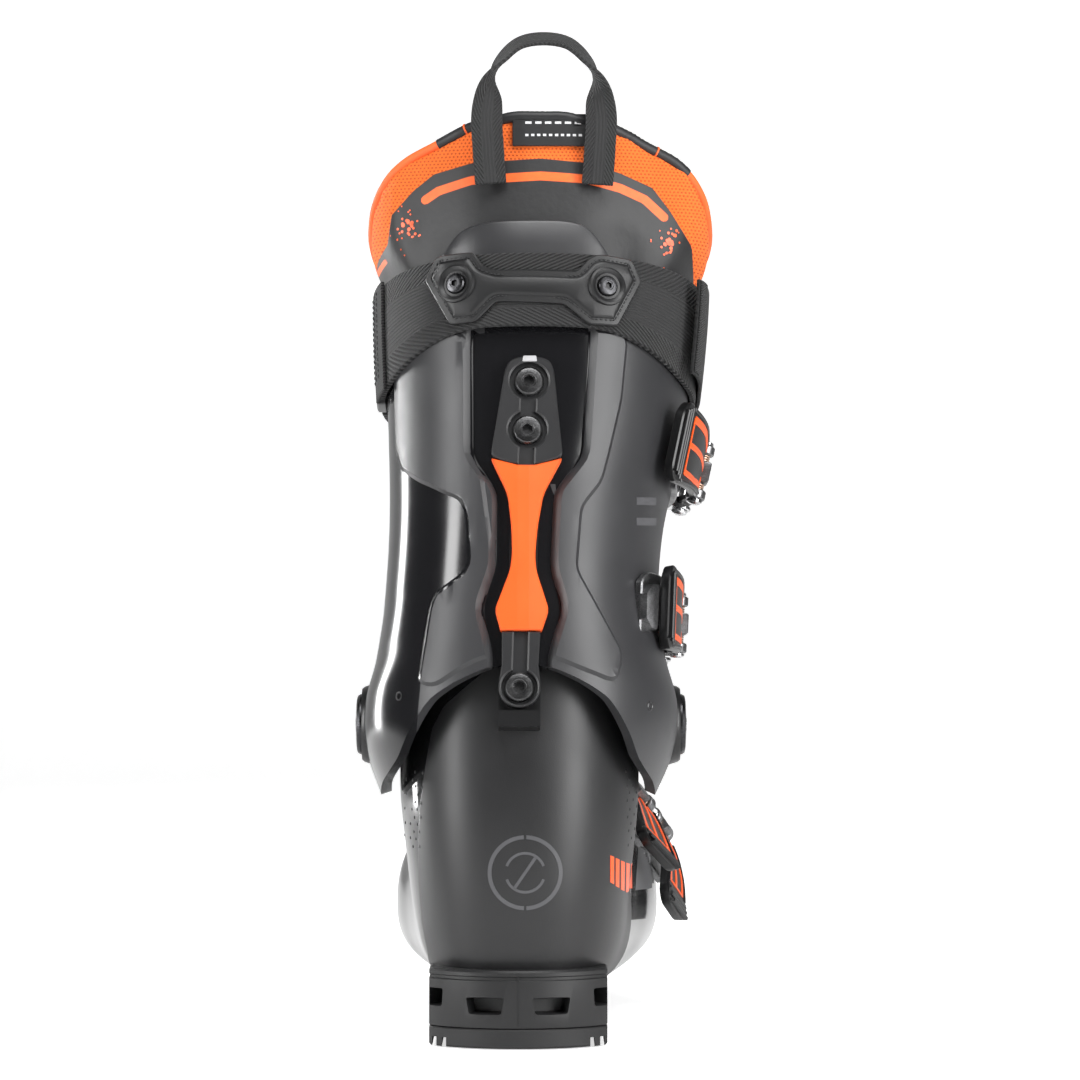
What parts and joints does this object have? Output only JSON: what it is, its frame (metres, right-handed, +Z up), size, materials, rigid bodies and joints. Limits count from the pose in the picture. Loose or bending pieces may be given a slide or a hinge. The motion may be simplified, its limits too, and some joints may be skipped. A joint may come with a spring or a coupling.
{
  "type": "alpine ski boot",
  "caption": "Right-foot alpine ski boot: overlap shell with a hinged cuff on a rear spine, lever buckles on ladders, a power strap, and a removable liner with a pull loop.",
  "frame": {"origin": "centre of the flat bottom of the heel sole, on the ground", "axes": "+Z up, +Y towards the toe, +X to the outer side of the foot"},
  "size_m": [0.1444, 0.3152, 0.398],
  "materials": {
    "shell_plastic": "fine satin grain over the heel and the outer side, gloss black over the inner side and forefoot",
    "cuff_plastic": "fine satin grain, gloss black over the inner side",
    "sole_rubber": "matte moulded rubber",
    "trim_rubber": "matte soft-touch rubber",
    "buckle_grey": "grey anodised, satin",
    "lever_black": "black with orange inlays",
    "bail_metal": "black anodised",
    "steel": "bright steel",
    "dark_steel": "black oxide",
    "orange_plastic": "orange, satin",
    "webbing": "black woven webbing",
    "liner_fabric": "black laminated knit with orange mesh at the collar",
    "board": "plain plastic"
  },
  "bodies": {
    "shell": {"lower_shell": "shell_plastic", "heel_sole": "sole_rubber", "toe_sole": "sole_rubber", "heel_sole_screw_front": "dark_steel", "heel_sole_screw_back": "dark_steel", "toe_sole_screw_inner": "dark_steel", "toe_sole_screw_outer": "dark_steel", "boot_board": "board", "liner_foot": "liner_fabric", "footbed": "board", "instep_buckle_base": "buckle_grey", "instep_buckle_pin": "steel", "instep_buckle_ladder": "buckle_grey", "toe_buckle_base": "buckle_grey", "toe_buckle_pin": "steel", "toe_buckle_ladder": "buckle_grey"},
    "cuff": {"cuff": "cuff_plastic", "cuff_pivot_inner": "dark_steel", "cuff_pivot_outer": "dark_steel", "spine_bracket": "cuff_plastic", "spine_bar": "orange_plastic", "spine_link": "cuff_plastic", "spine_slider": "trim_rubber", "spine_bolt_top": "dark_steel", "spine_bolt_middle": "dark_steel", "spine_bolt_lower": "dark_steel", "rear_spoiler": "shell_plastic", "power_strap": "webbing", "strap_badge": "trim_rubber", "strap_tab": "webbing", "strap_ring": "trim_rubber", "strap_bolt_inner": "dark_steel", "strap_bolt_outer": "dark_steel", "liner_cuff": "liner_fabric", "liner_tongue": "liner_fabric", "liner_label": "webbing", "pull_loop": "webbing", "tongue_loop": "webbing", "upper_cuff_buckle_base": "buckle_grey", "upper_cuff_buckle_pin": "steel", "upper_cuff_buckle_ladder": "buckle_grey", "lower_cuff_buckle_base": "buckle_grey", "lower_cuff_buckle_pin": "steel", "lower_cuff_buckle_ladder": "buckle_grey"},
    "upper_cuff_lever": {"upper_cuff_buckle_lever": "lever_black"},
    "upper_cuff_bail": {"upper_cuff_buckle_bail": "bail_metal"},
    "lower_cuff_lever": {"lower_cuff_buckle_lever": "lever_black"},
    "lower_cuff_bail": {"lower_cuff_buckle_bail": "bail_metal"},
    "instep_lever": {"instep_buckle_lever": "lever_black"},
    "instep_bail": {"instep_buckle_bail": "bail_metal"},
    "toe_lever": {"toe_buckle_lever": "lever_black"},
    "toe_bail": {"toe_buckle_bail": "bail_metal"}
  },
  "joints": [
    {"name": "cuff_flex", "type": "hinge", "parent": "shell", "child": "cuff", "pos_m": [0, 0.038, 0.122], "axis": [-1, 0, 0], "range_deg": [0, 10], "stiffness_Nm_per_rad": 250},
    {"name": "upper_cuff_lever_hinge", "type": "hinge", "parent": "cuff", "child": "upper_cuff_lever", "pos_m": [0.06763, 0.07661, 0.22029], "axis": [0.2054, 0.2415, 0.9484], "range_deg": [0, 95]},
    {"name": "upper_cuff_bail_hinge", "type": "hinge", "parent": "upper_cuff_lever", "child": "upper_cuff_bail", "pos_m": [0.07287, 0.06325, 0.22234], "axis": [0.2054, 0.2415, 0.9484], "range_deg": [-123.5, 0]},
    {"name": "lower_cuff_lever_hinge", "type": "hinge", "parent": "cuff", "child": "lower_cuff_lever", "pos_m": [0.05736, 0.0684, 0.15978], "axis": [0.0396, 0.1073, 0.9934], "range_deg": [0, 95]},
    {"name": "lower_cuff_bail_hinge", "type": "hinge", "parent": "lower_cuff_lever", "child": "lower_cuff_bail", "pos_m": [0.06357, 0.05534, 0.16128], "axis": [0.0396, 0.1073, 0.9934], "range_deg": [-123.5, 0]},
    {"name": "instep_lever_hinge", "type": "hinge", "parent": "shell", "child": "instep_lever", "pos_m": [0.03898, 0.13813, 0.09544], "axis": [-0.4852, -0.6817, 0.5476], "range_deg": [0, 72]},
    {"name": "instep_bail_hinge", "type": "hinge", "parent": "instep_lever", "child": "instep_bail", "pos_m": [0.04785, 0.12742, 0.09043], "axis": [-0.4852, -0.6817, 0.5476], "range_deg": [-93.6, 0]},
    {"name": "toe_lever_hinge", "type": "hinge", "parent": "shell", "child": "toe_lever", "pos_m": [0.0466, 0.17951, 0.08181], "axis": [-0.2689, -0.8654, 0.4228], "range_deg": [0, 95]},
    {"name": "toe_bail_hinge", "type": "hinge", "parent": "toe_lever", "child": "toe_bail", "pos_m": [0.05841, 0.17206, 0.07464], "axis": [-0.2689, -0.8654, 0.4228], "range_deg": [-123.5, 0]}
  ],
  "couplings": [
    {"joint": "upper_cuff_bail_hinge", "follows": "upper_cuff_lever_hinge", "ratio": -1.3},
    {"joint": "lower_cuff_bail_hinge", "follows": "lower_cuff_lever_hinge", "ratio": -1.3},
    {"joint": "instep_bail_hinge", "follows": "instep_lever_hinge", "ratio": -1.3},
    {"joint": "toe_bail_hinge", "follows": "toe_lever_hinge", "ratio": -1.3}
  ]
}
